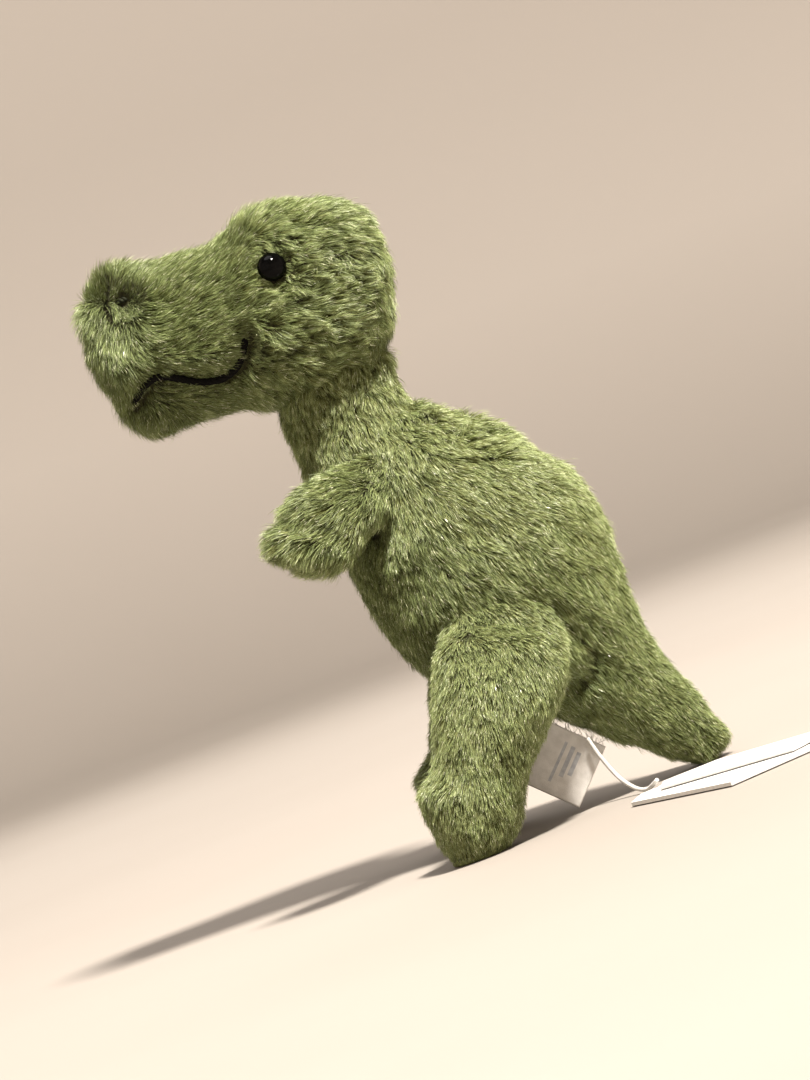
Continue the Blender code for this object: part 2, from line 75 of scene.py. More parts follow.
# Stations of each form's outer surface: x, y, z of the centre, radius in the side profile, radius across it
TRUNK = [
    (0, 70.5, 28.6, 0, 0),
    (0, 67.5, 30.3, 7.2, 6.8),
    (0, 59.6, 34.4, 10.1, 10.0),
    (0, 48.1, 41.6, 13.8, 14.0),
    (0, 36.6, 50.2, 17.9, 18.8),
    (0, 23.9, 61.7, 25.9, 25.0),
    (0, 7.6, 77.2, 35.0, 29.8),
    (0, -8.8, 92.2, 30.4, 28.0),
    (0, -21.0, 104.0, 23.5, 23.5),
    (0, -30.5, 114.0, 19.0, 19.5),
    (0, -35.0, 124.0, 17.6, 18.5),
    (0, -38.6, 134.0, 17.3, 18.0),
    (0, -42.0, 146.0, 0, 0),
]
# Upright sections of the head from back to nose: y, top, bottom, half width
HEAD = [
    (-20.6, 152.0, 152.0, 0),
    (-21.5, 164.0, 140.5, 12.5),
    (-23.5, 168.8, 135.0, 17.8),
    (-27.0, 174.4, 131.0, 21.8),
    (-32.0, 177.8, 127.5, 24.8),
    (-41.0, 179.8, 124.0, 27.0),
    (-50.0, 179.2, 122.4, 27.5),
    (-57.0, 177.6, 121.8, 27.0),
    (-62.0, 175.6, 121.8, 26.0),
    (-65.2, 172.4, 121.2, 25.0),
    (-68.2, 168.9, 120.2, 24.2),
    (-75.0, 166.0, 117.6, 23.0),
    (-82.0, 163.6, 114.6, 21.8),
    (-88.5, 162.4, 114.2, 20.8),
    (-94.0, 161.6, 118.0, 19.8),
    (-98.0, 160.4, 123.8, 18.4),
    (-101.6, 158.0, 129.2, 15.8),
    (-104.2, 154.6, 134.2, 12.2),
    (-106.0, 149.8, 140.8, 7.0),
    (-106.6, 145.6, 145.6, 0),
]
ARM = [
    (16.5, -17.0, 108.0, 0, 0),
    (17.0, -22.8, 103.4, 8.8, 6.6),
    (23.2, -32.2, 97.0, 11.0, 9.2),
    (26.8, -38.8, 90.8, 12.6, 10.2),
    (28.2, -42.8, 85.0, 13.0, 10.4),
    (28.6, -44.8, 79.6, 11.4, 9.4),
    (28.6, -46.0, 75.0, 0, 0),
]
LEG = [
    (21.0, 8.5, 77.0, 0, 0),
    (22.6, 8.5, 71.0, 13.0, 6.4),
    (23.6, 8.4, 65.0, 16.6, 8.6),
    (26.0, 8.0, 57.5, 18.8, 12.0),
    (28.5, 6.5, 45.0, 18.4, 14.8),
    (29.0, 4.0, 33.0, 15.6, 14.4),
    (29.2, 2.2, 26.0, 14.2, 14.2),
    (29.5, -0.3, 19.5, 14.9, 14.6),
    (29.5, -0.1, 13.5, 13.8, 14.0),
    (29.5, 0.3, 7.5, 11.2, 12.6),
    (29.5, 0.4, -2.6, 0, 0),
]
EYE = (-53.5, 158.7)
EYE_TILT = math.radians(20)
EYE_RADIUS = 3.95
NOSTRIL = (-94.0, 151.0)
PARTING = 150.5  # the height on the muzzle where the pile parts and lies up or down
NOSE_PUFF = (-99.0, 158.0)
CHEEK = (-47.0, 138.0)
TEMPLE = (-36.0, 158.0)
ARMPIT = (-26.5, 89.5)
SHOULDER_PIT = (-30.5, 107.5)
TUFT_Y, TUFT_ABOVE = 2, 108  # the tousled tuft on the back: its middle, and the height that it starts at
# Lines in the side profile, as (y, z)
MOUTH = [
    (-90.8, 123.6),
    (-87.4, 128.4),
    (-83, 130.4),
    (-73.6, 129.2),
    (-66.8, 130.2),
    (-62, 134),
    (-60.4, 140.8),
]
HIP_FOLD = [(16, 71), (25, 64), (32, 57), (31, 50), (25, 46)]
FLANK_WRINKLE = [(-13, 91), (-2, 91), (8, 88), (18, 82)]
WRIST = [(-53, 92.5), (-44, 91.0), (-34.5, 88.5)]


# Curves and noise
def spread(stations, per_span):
    """Centres and radii on a smooth curve through the stations; the squares of the radii are interpolated."""
    rows = np.array([(x, y, z, tall**2, wide**2) for x, y, z, tall, wide in stations], float)
    padded = np.vstack([rows[:1], rows, rows[-1:]])
    places = np.arange((len(rows) - 1) * per_span + 1) / per_span
    i = np.minimum(places.astype(int), len(rows) - 2)
    t = (places - i)[:, None]
    p0, p1, p2, p3 = (padded[i + k] for k in range(4))
    square, cube = 2 * p0 - 5 * p1 + 4 * p2 - p3, 3 * p1 - p0 - 3 * p2 + p3
    out = 0.5 * (2 * p1 + (p2 - p0) * t + square * t**2 + cube * t**3)
    return out[:, :3], np.sqrt(np.maximum(out[:, 3], 0)), np.sqrt(np.maximum(out[:, 4], 0))


def unit(v):
    return v / np.maximum(np.linalg.norm(v, axis=-1, keepdims=True), 1e-9)


def smooth(low, high, value):
    """A smooth step from 0 at low to 1 at high; low may be the greater of the two."""
    t = np.clip((value - low) / (high - low), 0, 1)
    return t * t * (3 - 2 * t)


def wander(points, wavelength, seed):
    """Smooth noise from -1 to 1 as a sum of sines in fixed directions."""
    rng = np.random.default_rng(seed)
    total = np.zeros(len(points))
    for _ in range(6):
        way = unit(rng.normal(size=3)) * (2 * math.pi / wavelength) * rng.uniform(0.6, 1.5)
        total += np.sin(points @ way + rng.uniform(0, 2 * math.pi))
    return total / 3.2


def to_line(points, line):
    """Distance in the side profile from each point to a polyline."""
    best = np.full(len(points), np.inf)
    flat = points[:, 1:]
    for a, b in zip(np.array(line[:-1], float), np.array(line[1:], float)):
        along = np.clip(((flat - a) @ (b - a)) / ((b - a) @ (b - a)), 0, 1)
        foot = a + along[:, None] * (b - a)
        best = np.minimum(best, np.linalg.norm(flat - foot, axis=1))
    return best


def to_place(points, place):
    """Distance in the side profile from each point to a place."""
    return np.hypot(points[:, 1] - place[0], points[:, 2] - place[1])


def round_place(points, place, width):
    """A smooth bump in the side profile: 1 at the place and fading over the width."""
    return np.exp(-((points[:, 1] - place[0]) ** 2 + (points[:, 2] - place[1]) ** 2) / width**2)


def along_line(points, line, width):
    """A smooth ridge in the side profile: 1 on the line and fading over the width."""
    return np.exp(-((to_line(points, line) / width) ** 2))


def ring_faces(rings, sides, first=0):
    """Quads between neighbouring rings of points, each ring closed on itself."""
    faces = []
    for r in range(rings - 1):
        for k in range(sides):
            low, high = first + r * sides, first + (r + 1) * sides
            after = (k + 1) % sides
            faces.append((low + k, low + after, high + after, high + k))
    return faces


def cap_faces(tip, ring_start, sides):
    """Triangles that close a ring of points at a tip."""
    return [(tip, ring_start + (k + 1) % sides, ring_start + k) for k in range(sides)]


# Forms
class Form:
    """A closed surface in the profile, lofted through stations: points, faces, triangles and normals."""

    def __init__(self, stations, side=1, sides=56, per_span=7, square=2.2, facing=None):
        """Rings stand across the curve, or across a fixed direction where facing gives one."""
        centres, tall, wide = spread(stations, per_span)
        along = unit(np.gradient(centres, axis=0))
        if facing is not None:
            along[:] = facing
        across = unit(np.array([1.0, 0, 0]) - along * along[:, :1])
        up = np.cross(along, across)
        turn = 2 * np.pi * np.arange(sides) / sides
        c, s = np.cos(turn), np.sin(turn)
        c, s = np.sign(c) * abs(c) ** (2 / square), np.sign(s) * abs(s) ** (2 / square)
        rings = centres[1:-1, None] + across[1:-1, None] * (wide[1:-1, None] * c)[..., None]
        rings = rings + up[1:-1, None] * (tall[1:-1, None] * s)[..., None]
        self.points = np.vstack([centres[:1], rings.reshape(-1, 3), centres[-1:]]) * np.array([side, 1, 1])
        last = len(self.points) - 1
        faces = ring_faces(len(rings), sides, 1) + cap_faces(0, 1, sides)
        faces += [(tip, b, a) for tip, a, b in cap_faces(last, last - sides, sides)]
        self.faces = [f[::-1] for f in faces] if side < 0 else faces
        self.triangles = np.array([(f[0], f[k], f[k + 1]) for f in self.faces for k in range(1, len(f) - 1)])
        self.measure()
        # Turned inside out if the loft's direction has put the normals inside
        middle = centres[len(centres) // 2] * np.array([side, 1, 1])
        nearest = np.argmin(np.linalg.norm(self.points - middle, axis=1))
        if self.normals[nearest] @ (self.points[nearest] - middle) < 0:
            self.faces = [f[::-1] for f in self.faces]
            self.triangles = self.triangles[:, ::-1]
            self.measure()

    def measure(self):
        """Normals from the faces round each point; any search tree is out of date."""
        a, b, c = (self.points[self.triangles[:, k]] for k in range(3))
        facing = np.cross(b - a, c - a)
        normals = np.zeros_like(self.points)
        for k in range(3):
            np.add.at(normals, self.triangles[:, k], facing)
        self.normals = unit(normals)
        self.found = None

    def push(self, amount):
        """Moves every point along its normal, in millimetres."""
        self.points = self.points + self.normals * np.asarray(amount).reshape(-1, 1)
        self.measure()

    def copy(self, inset):
        """The same form, sunk by an amount for each point."""
        twin = object.__new__(Form)
        twin.points, twin.faces, twin.triangles = self.points.copy(), self.faces, self.triangles
        twin.normals = self.normals
        twin.push(-inset)
        return twin

    def tree(self):
        """A search tree of the surface as it is now."""
        if self.found is None:
            points = [Vector(p) for p in self.points]
            self.found = BVHTree.FromPolygons(points, [tuple(t) for t in self.triangles])
        return self.found


def shape_head(form):
    """A soft jaw, a full lip, dents for smile, eyes, nostrils and temples, and a puffed nose and cheek."""
    p = form.points
    jaw_line = np.interp(p[:, 1], [-95, -88, -62, -50], [121, 128, 131, 122])
    jaw = smooth(3.0, -5.0, p[:, 2] - jaw_line)
    p[:, 0] *= 1 - 0.13 * jaw * smooth(-52, -74, p[:, 1])
    lip = np.exp(-(((p[:, 1] + 92) / 9) ** 2) - ((p[:, 2] - 135) / 8) ** 2)
    p[:, 0] *= 1 + 0.09 * lip
    form.measure()
    sideways = smooth(4, 9, abs(p[:, 0]))
    dent = 2.6 * along_line(p, MOUTH, 2.6) * sideways
    dent += 1.6 * round_place(p, EYE, 5.0) * sideways
    dent += 3.0 * round_place(p, NOSTRIL, 3.0) * sideways
    dent -= 1.8 * round_place(p, NOSE_PUFF, 5.0) * smooth(2, 8, abs(p[:, 0]))
    dent -= 1.3 * round_place(p, CHEEK, 10.0) * sideways
    dent += 1.1 * round_place(p, TEMPLE, 6.0) * sideways
    form.push(-dent)


def shape_trunk(form):
    """A bump under the tuft, pits at armpit and shoulder, a fold at the hip and a wrinkle over the flank."""
    p = form.points
    bump = 1.4 * np.exp(-(((p[:, 1] - TUFT_Y) / 9) ** 2) - (p[:, 0] / 5) ** 2) * (p[:, 2] > TUFT_ABOVE)
    pit = 3.0 * round_place(p, ARMPIT, 5.5) + 1.6 * round_place(p, SHOULDER_PIT, 4.0)
    fold = 2.2 * along_line(p, HIP_FOLD, 2.2) * smooth(12, 18, abs(p[:, 0]))
    wrinkle = 0.9 * along_line(p, FLANK_WRINKLE, 3.0) * smooth(8, 18, abs(p[:, 0]))
    form.push(bump - fold - wrinkle - pit * smooth(8, 14, abs(p[:, 0])))


def build_forms():
    """The outer surface of each part of the toy, slightly uneven."""
    sections = [(0, y, (top + low) / 2, (top - low) / 2, wide) for y, top, low, wide in HEAD]
    made = {
        "trunk": Form(TRUNK, sides=64),
        "head": Form(sections, sides=80, per_span=6, square=2.35, facing=(0, -1, 0)),
    }
    for side, hand in ((1, "left"), (-1, "right")):
        made[f"arm_{hand}"] = Form(ARM, side, sides=40)
        made[f"leg_{hand}"] = Form(LEG, side, sides=48, facing=(0, 0, -1))
        made[f"arm_{hand}"].push(-1.3 * along_line(made[f"arm_{hand}"].points, WRIST, 2.0))
    shape_head(made["head"])
    shape_trunk(made["trunk"])
    for k, (_, form) in enumerate(sorted(made.items())):
        form.push(0.55 * wander(np.abs(form.points), 17, 40 + k))
    return made


# Meshes
def mesh_object(name, points, faces, materials, slots=None):
    mesh = bpy.data.meshes.new(name)
    mesh.from_pydata([tuple(p) for p in points], [], [tuple(int(i) for i in f) for f in faces])
    mesh.shade_smooth()
    for m in materials:
        mesh.materials.append(m)
    if slots is not None:
        mesh.polygons.foreach_set("material_index", slots)
    obj = bpy.data.objects.new(name, mesh)
    bpy.context.scene.collection.objects.link(obj)
    return obj


def in_frame(points):
    """Profile millimetres to frame metres."""
    m = np.array(STANCE)
    return np.asarray(points) @ m[:3, :3].T + m[:3, 3]


def on_floor(points, clear=PILE_CLEAR):
    """Presses points that would pass under the floor flat onto it."""
    points = points.copy()
    points[:, 2] = np.maximum(points[:, 2], clear)
    return points


# Materials
def principled(name, colour, roughness, **more):
    made = bpy.data.materials.new(name)
    made.use_nodes = True
    shader = made.node_tree.nodes["Principled BSDF"]
    shader.inputs["Base Color"].default_value = (*colour, 1)
    shader.inputs["Roughness"].default_value = roughness
    for key, value in more.items():
        shader.inputs[key.replace("_", " ")].default_value = value
    return made


def noisy(name, low, high, scale, roughness, bump=0.3, bump_scale=None, detail=4, distance=0.0004, **more):
    """A Principled material whose colour and bump come from noise."""
    made = principled(name, high, roughness, **more)
    nodes, links = made.node_tree.nodes, made.node_tree.links
    shader = nodes["Principled BSDF"]
    where = nodes.new("ShaderNodeTexCoord")
    noise = nodes.new("ShaderNodeTexNoise")
    noise.inputs["Scale"].default_value = scale
    noise.inputs["Detail"].default_value = detail
    ramp = nodes.new("ShaderNodeValToRGB")
    ramp.color_ramp.elements[0].position = 0.35
    ramp.color_ramp.elements[0].color = (*low, 1)
    ramp.color_ramp.elements[1].position = 0.68
    ramp.color_ramp.elements[1].color = (*high, 1)
    links.new(where.outputs["Object"], noise.inputs["Vector"])
    links.new(noise.outputs["Fac"], ramp.inputs["Fac"])
    links.new(ramp.outputs["Color"], shader.inputs["Base Color"])
    if bump:
        fine = nodes.new("ShaderNodeTexNoise")
        fine.inputs["Scale"].default_value = bump_scale or scale * 6
        relief = nodes.new("ShaderNodeBump")
        relief.inputs["Strength"].default_value = bump
        relief.inputs["Distance"].default_value = distance
        links.new(where.outputs["Object"], fine.inputs["Vector"])
        links.new(fine.outputs["Fac"], relief.inputs["Height"])
        links.new(relief.outputs["Normal"], shader.inputs["Normal"])
    return made


# The fibres' greens, root to tip. root and under are partly the pile's own deeper tone and partly painted
# shade deep in the pile; glint is a painted glint, a pale colour for light catching a few tips.
FUR = {
    "root": ((0.021, 0.019, 0.002), 0.9),
    "under": ((0.066, 0.075, 0.009), 0.75),
    "mid_deep": ((0.098, 0.122, 0.031), 0.65),
    "mid": ((0.152, 0.190, 0.062), 0.55),
    "mid_warm": ((0.184, 0.204, 0.066), 0.55),
    "tip": ((0.250, 0.308, 0.112), 0.45),
    "tip_pale": ((0.372, 0.436, 0.188), 0.4),
    "glint": ((0.860, 0.870, 0.600), 0.2),
}
FUR_SLOTS = list(FUR)


def fur_materials():
    """Plain shaders without nodes, one for each shade, so that the many pieces of pile need no baking."""
    look = {
        "Specular_IOR_Level": 0.42,
        "Sheen_Weight": 0.22,
        "Sheen_Roughness": 0.4,
        "Sheen_Tint": (0.85, 0.95, 0.6, 1),
    }
    return [principled(f"pile_{name}", colour, rough, **look) for name, (colour, rough) in FUR.items()]


# Nearly black: partly the backing's own dark tone and partly painted shade at the bottom of the pile, which
# shows between the locks.
def backing_material():
    return noisy("pile_backing", (0.014, 0.013, 0.003), (0.045, 0.048, 0.012), 900, 0.95, 0.6, 2500)


# Fur: how the pile lies, as functions of the profile points and their normals
def tuft(p):
    """The tousled tuft on the back: 1 in its middle."""
    return np.exp(-(((p[:, 1] - TUFT_Y) / 9) ** 2)) * (p[:, 2] > TUFT_ABOVE)


def belly_side(p):
    """A measure along the trunk that falls towards the belly."""
    return p[:, 1] + 0.2 * (p[:, 2] - 75)


def comb_head(p, n):
    """Backwards over the skull and cheeks, and away from the nose on the muzzle."""
    back = np.zeros_like(p)
    back[:, 1] = 1.0
    back[:, 2] = 0.45 * smooth(-48, -72, p[:, 1]) * smooth(128, 142, p[:, 2])
    back[:, 2] -= 0.9 * smooth(-70, -48, p[:, 1]) * smooth(140, 128, p[:, 2])
    back[:, 2] -= 1.5 * smooth(-34, -22, p[:, 1])
    away = np.stack([0.4 * n[:, 0], np.full(len(p), 0.3), np.tanh((p[:, 2] - PARTING) / 3.0)], 1)
    muzzle = smooth(-80, -95, p[:, 1])[:, None]
    chin = (smooth(127, 119, p[:, 2]) * smooth(-66, -84, p[:, 1]))[:, None]
    way = unit(back) * (1 - muzzle) + unit(away) * muzzle
    return way * (1 - chin) + chin * np.array([0, 0.15, -0.95])


def comb_trunk(p, _):
    """Back and down over the body, and nearly straight down on the neck and the belly."""
    way = np.zeros_like(p)
    way[:, 1] = 0.75
    way[:, 2] = -0.62
    neck = smooth(104, 122, p[:, 2])[:, None]
    way = way * (1 - neck) + neck * np.array([0, 0.25, -0.97])
    belly = smooth(0, -22, belly_side(p))[:, None]
    return way * (1 - belly) + belly * np.array([0, 0.35, -0.95])


def comb_leg(p, n):
    """Down the leg, and back over the side of the thigh."""
    thigh = smooth(44, 66, p[:, 2]) * np.abs(n[:, 0]) ** 2
    return np.array([0, 0.12, -1.0]) + thigh[:, None] * np.array([0, 0.75, 0.2])


def comb_arm(p, _):
    """Along the arm, and straight down at its end."""
    hand = smooth(88, 80, p[:, 2])[:, None]
    return np.array([0, -0.72, -0.62]) * (1 - hand) + np.array([0, -0.15, -1.0]) * hand


def head_length(p):
    brow = 0.8 * smooth(-60, -66, p[:, 1]) * (p[:, 2] > 168)
    return 5.2 + 1.1 * smooth(-84, -100, p[:, 1]) + brow


def head_lift(p):
    """Erect at the nose, most of all where the pile parts."""
    pole = smooth(8, 1, abs(p[:, 2] - PARTING)) * smooth(-92, -100, p[:, 1])
    return 0.50 + 0.16 * smooth(-86, -102, p[:, 1]) - 0.06 * smooth(-60, -30, p[:, 1]) + 0.3 * pole


def head_mess(p):
    return 0.12 + 1.0 * smooth(-70, -46, p[:, 1]) * smooth(178, 168, p[:, 2])


def head_painted_shade(p):
    """Painted shade: deeper green on the muzzle, the cheeks, the snout's sides, the jaw and round the
    nostrils, where the pile lies in shadow.
    """
    dim = 0.35 * smooth(-78, -94, p[:, 1]) + 0.35 * smooth(-64, -44, p[:, 1])
    dim = dim + 0.45 * smooth(-58, -70, p[:, 1]) * smooth(168, 154, p[:, 2])
    dim = dim + 0.6 * smooth(127, 119, p[:, 2]) * smooth(-46, -60, p[:, 1])
    return dim + 0.9 * round_place(p, NOSTRIL, 4.5)


def trunk_painted_shade_and_light(p):
    """Painted shade: deeper green on the belly and the throat, which face down; painted light: paler up the
    back, which faces the key light.
    """
    belly = smooth(2, -16, belly_side(p)) * smooth(100, 84, p[:, 2])
    return 0.7 * belly + 0.3 * smooth(-40, -50, p[:, 1]) - 0.75 * smooth(76, 96, p[:, 2])


def hand_end(p):
    return smooth(83, 76, p[:, 2])


def even(value):
    """The same value at every point."""
    return lambda p: np.full(len(p), value)


def no_trim(p):
    return np.ones(len(p)), np.ones(len(p), bool)


def trim_head(p):
    """Short pile round the eyes, along the mouth and in the nostrils, and none under the bead."""
    side = np.abs(p[:, 0]) > 6
    eye = to_place(p, EYE)
    mouth = to_line(p, MOUTH)
    pit = to_place(p, NOSTRIL)
    factor = np.where(side, smooth(3.5, 8.5, eye) * 0.7 + 0.3, 1)
    factor = factor * np.where(side, smooth(0.4, 4.4, mouth) * 0.58 + 0.42, 1)
    factor = factor * np.where(side, smooth(1.0, 5.0, pit) * 0.65 + 0.35, 1)
    corner = np.where((p[:, 1] > -70) | (p[:, 1] < -86), 1.5, 0.6)
    keep = ~(side & ((eye < EYE_RADIUS * 0.85) | (mouth < corner) | (pit < 1.7)))
    return factor, keep


def trim_trunk(p):
    """Bare little hollows at the armpit and over the shoulder, and a bare fold at the hip."""
    side = np.abs(p[:, 0]) > 10
    armpit = to_place(p, ARMPIT)
    bare = (armpit < 2.4) | (to_place(p, SHOULDER_PIT) < 1.2) | (to_line(p, HIP_FOLD) < 0.7)
    return np.where(side, smooth(1.0, 6.0, armpit) * 0.5 + 0.5, 1), ~(side & bare)


# comb(points, normals): the way the pile lies; length and lift (0 lying, 1 erect); messy (0 neat);
# painted shade: how much deeper than the average shade, with painted light where it is below 0; trim: a
# factor on the length, and which roots stay;
# clumps: locks for each square millimetre
Pile = namedtuple("Pile", "comb length lift messy dim trim clumps")
PILES = {
    "head": Pile(comb_head, head_length, head_lift, head_mess, head_painted_shade, trim_head, 0.6),
    "trunk": Pile(
        comb_trunk,
        lambda p: 4.4 + 1.6 * tuft(p) - 0.8 * smooth(30, 50, p[:, 1]),
        lambda p: 0.46 + 0.34 * tuft(p),
        lambda p: 0.2 + 0.6 * smooth(102, 116, p[:, 2]) + 0.7 * tuft(p),
        trunk_painted_shade_and_light,
        trim_trunk,
        0.9,
    ),
    "arm": Pile(
        comb_arm,
        lambda p: 4.8 + 1.6 * hand_end(p),
        lambda p: 0.46 + 0.35 * hand_end(p),
        lambda p: 0.35 + 0.5 * hand_end(p),
        even(0.0),
        no_trim,
        0.7,
    ),
    # Painted light: the leg's strands are all 0.55 paler than the average shade.
    "leg": Pile(comb_leg, even(3.5), even(0.54), even(0.12), even(-0.55), no_trim, 1.3),
}


def pile_height(name, p):
    """How far the pile's tips stand over the backing: more on the muzzle and the hands, where it is erect."""
    muzzle = smooth(-84, -102, p[:, 1]) if name == "head" else 0 * p[:, 0]
    hand = smooth(84, 76, p[:, 2]) if name.startswith("arm") else 0 * p[:, 0]
    return PILE + 1.5 * muzzle + 2.2 * hand


# Strands
STRETCHES = (0.36, 0.34, 0.30)  # the three parts of a strand's length
DROOP = 0.75  # how much of its rise a strand loses towards its tip
CLUMP_PULL = ((1, 0.20), (2, 0.52), (3, 0.80))  # how far each point of a strand is drawn to its lock's
LONG_SHARE, LONG_FACTOR = 0.02, 1.3  # strands longer than the rest
STRAY_SHARE, STRAY_RISE = 0.05, 0.35  # strands that stand up from the rest
# Painted glint: this share of the tips take the pale glint slot.
GLINT_SHARE = 0.07  # strands with a glittering tip
FACING_JITTER = 0.36  # how unevenly the flat ribbons face


def roots_on(form, rng):
    """Roots scattered evenly over a form, and the form's normal at each."""
    a, b, c = (form.points[form.triangles[:, k]] for k in range(3))
    area = np.linalg.norm(np.cross(b - a, c - a), axis=1) / 2
    count = int(area.sum() * STRANDS_PER_MM2)
    chosen = form.triangles[rng.choice(len(area), size=count, p=area / area.sum())]
    u, v = rng.random(count), rng.random(count)
    over = u + v > 1
    u[over], v[over] = 1 - u[over], 1 - v[over]
    weights = (1 - u - v, u, v)

    def mix(values):
        return sum(values[chosen[:, k]] * weight[:, None] for k, weight in enumerate(weights))

    return mix(form.points), unit(mix(form.normals))


def outside(points, forms):
    """Which points lie outside every one of the closed forms."""
    good = np.ones(len(points), bool)
    for form in forms:
        low, high = form.points.min(0) - 1, form.points.max(0) + 1
        near = good & (points > low).all(1) & (points < high).all(1)
        for i in np.nonzero(near)[0]:
            found, normal, _, _ = form.tree().find_nearest(points[i])
            if (Vector(points[i]) - found).dot(normal) < 0:
                good[i] = False
    return good


def nearest_of(points, seeds):
    """For each point, the index of the nearest seed."""
    tree = KDTree(len(seeds))
    for i, point in enumerate(seeds):
        tree.insert(point, i)
    tree.balance()
    return np.array([tree.find(point)[1] for point in points])


def swirl(points, wavelength, seed):
    """Smooth noise along each axis."""
    return np.stack([wander(points, wavelength, seed + k) for k in range(3)], 1)


def strand_lines(roots, normals, comb, lift, length):
    """Four points along each strand, which leaves the backing at its lift and bends to the comb direction."""
    flat = unit(comb - normals * (comb * normals).sum(1, keepdims=True))
    lines = [roots]
    for k, share in enumerate(STRETCHES):
        rise = (lift * (1 - DROOP * (k + 0.5) / 3))[:, None]
        way = unit(normals * rise + flat * (1 - rise))
        lines.append(lines[-1] + way * (length * share)[:, None])
    return np.stack(lines, 1)


def grow(form, hidden_by, seed, pile):
    """Strands over a form, in the profile: their lines (strand, 4, 3), root normals, shades and luck."""
    rng = np.random.default_rng(seed)
    roots, normals = roots_on(form, rng)
    seen = outside(roots, hidden_by) & pile.trim(roots)[1]
    roots, normals = roots[seen], normals[seen]
    count = len(roots)
    seeds = rng.permutation(count)[: max(8, int(count * pile.clumps / STRANDS_PER_MM2))]
    mine = seeds[nearest_of(roots, roots[seeds])]
    untidy = pile.messy(roots)
    uneven = (0.10 + 0.16 * untidy) * (wander(roots, 5, seed + 9) + rng.normal(0, 0.8, count)[mine])
    long = pile.length(roots) * pile.trim(roots)[0] * rng.uniform(0.75, 1.12, count)
    long = long * np.clip(1 + uneven, 0.45, 1.25)
    long = np.where(rng.random(count) < LONG_SHARE, long * LONG_FACTOR, long)
    curl = (0.18 + 0.34 * untidy)[:, None]
    way = unit(pile.comb(roots, normals)) + curl * swirl(roots, 9, seed + 1)
    way = way + 0.6 * curl * swirl(roots, 3.2, seed + 4) + rng.normal(0, 0.16, roots.shape)
    rise = pile.lift(roots) + 0.10 * wander(roots, 6, seed + 7) + rng.normal(0, 0.07, count)
    rise = np.where(rng.random(count) < STRAY_SHARE, rise + STRAY_RISE, rise)
    lines = strand_lines(roots, normals, way, np.clip(rise, 0.12, 1.0), long)
    pull = (0.34 + 0.5 * untidy) * rng.uniform(0.5, 1.0, count)
    for k, share in CLUMP_PULL:
        lines[:, k] += (lines[mine, k] - lines[:, k]) * (pull * share)[:, None]
    # Shade: random tone by place, strand and lock, plus painted shade where a lock is short and sinks into
    # the pile, less the form's painted shade (or plus its painted light).
    shade = 0.3 * wander(roots, 11, seed + 8) + rng.normal(0, 0.55, count)
    shade = shade + rng.normal(0, 0.45, count)[mine] + 2.0 * uneven - pile.dim(roots)
    return lines, normals, shade, rng.random(count)


def strand_slots(shade, luck):
    """Slots of each strand's root, middle and tip."""
    slot = FUR_SLOTS.index
    low = np.where(shade < -0.2, slot("root"), slot("under"))
    mid = np.select([shade < -0.5, shade > 0.55], [slot("mid_deep"), slot("mid_warm")], slot("mid"))
    tips = [slot("glint"), slot("tip_pale"), slot("mid")]
    # Tips: a painted glint at random, paler where the shade is high, duller where it is low.
    tip = np.select([luck < GLINT_SHARE, shade > 0.35, shade < -0.75], tips, slot("tip"))
    return np.stack([low, mid, tip], 1)


def fur_object(name, lines, normals, slots, materials, seed):
    """Flat tapering ribbons of three stretches, each stretch with its own slot."""
    rng = np.random.default_rng(seed)
    count = len(lines)
    world = on_floor(in_frame(lines.reshape(-1, 3))).reshape(count, 4, 3)
    facing = unit(normals @ np.array(STANCE)[:3, :3].T + rng.normal(0, FACING_JITTER, normals.shape))
    ahead = unit(world[:, 1:] - world[:, :-1])
    across = unit(np.cross(ahead, facing[:, None]))
    wide = STRAND_WIDTH * MM * np.array([1.0, 0.95, 0.6]) / 2
    step = across * wide[None, :, None] * rng.uniform(0.75, 1.25, count)[:, None, None]
    points = np.empty((count, 7, 3))
    points[:, 0:6:2] = world[:, :3] - step
    points[:, 1:6:2] = world[:, :3] + step
    points[:, 6] = world[:, 3]
    # Two quads and a triangle to a strand: 11 corners
    pattern = np.array([0, 1, 3, 2, 2, 3, 5, 4, 4, 5, 6])
    corners = (np.arange(count) * 7)[:, None] + pattern
    starts = (np.arange(count) * 11)[:, None] + np.array([0, 4, 8])
    mesh = bpy.data.meshes.new(name)
    mesh.vertices.add(count * 7)
    mesh.vertices.foreach_set("co", points.astype(np.float32).ravel())
    mesh.loops.add(count * 11)
    mesh.loops.foreach_set("vertex_index", corners.astype(np.int32).ravel())
    mesh.polygons.add(count * 3)
    mesh.polygons.foreach_set("loop_start", starts.astype(np.int32).ravel())
    for m in materials:
        mesh.materials.append(m)
    mesh.polygons.foreach_set("material_index", slots.astype(np.int32).ravel())
    mesh.update(calc_edges=True)
    mesh.shade_smooth()
    obj = bpy.data.objects.new(name, mesh)
    bpy.context.scene.collection.objects.link(obj)
    return obj


def grow_all(backs):
    """The pile of every form, without the strands that another form hides."""
    limbs = [backs[f"{limb}_{hand}"] for limb in ("arm", "leg") for hand in ("left", "right")]
    trunk = backs["trunk"]
    grown = {
        "head": grow(backs["head"], [trunk], 11, PILES["head"]),
        "trunk": grow(trunk, [backs["head"], *limbs], 23, PILES["trunk"]),
    }
    for k, hand in enumerate(("left", "right")):
        grown[f"arm_{hand}"] = grow(backs[f"arm_{hand}"], [trunk], 31 + 20 * k, PILES["arm"])
        grown[f"leg_{hand}"] = grow(backs[f"leg_{hand}"], [trunk], 37 + 20 * k, PILES["leg"])
    return grown


# Where the trunk's fabric meets the neck and the tail: a line for each, from its start to its end
NECK_BLEND = [Vector((0, -28, 106)), Vector((0, -37, 128))]
TAIL_BLEND = [Vector((0, 33, 56)), Vector((0, 52, 41))]


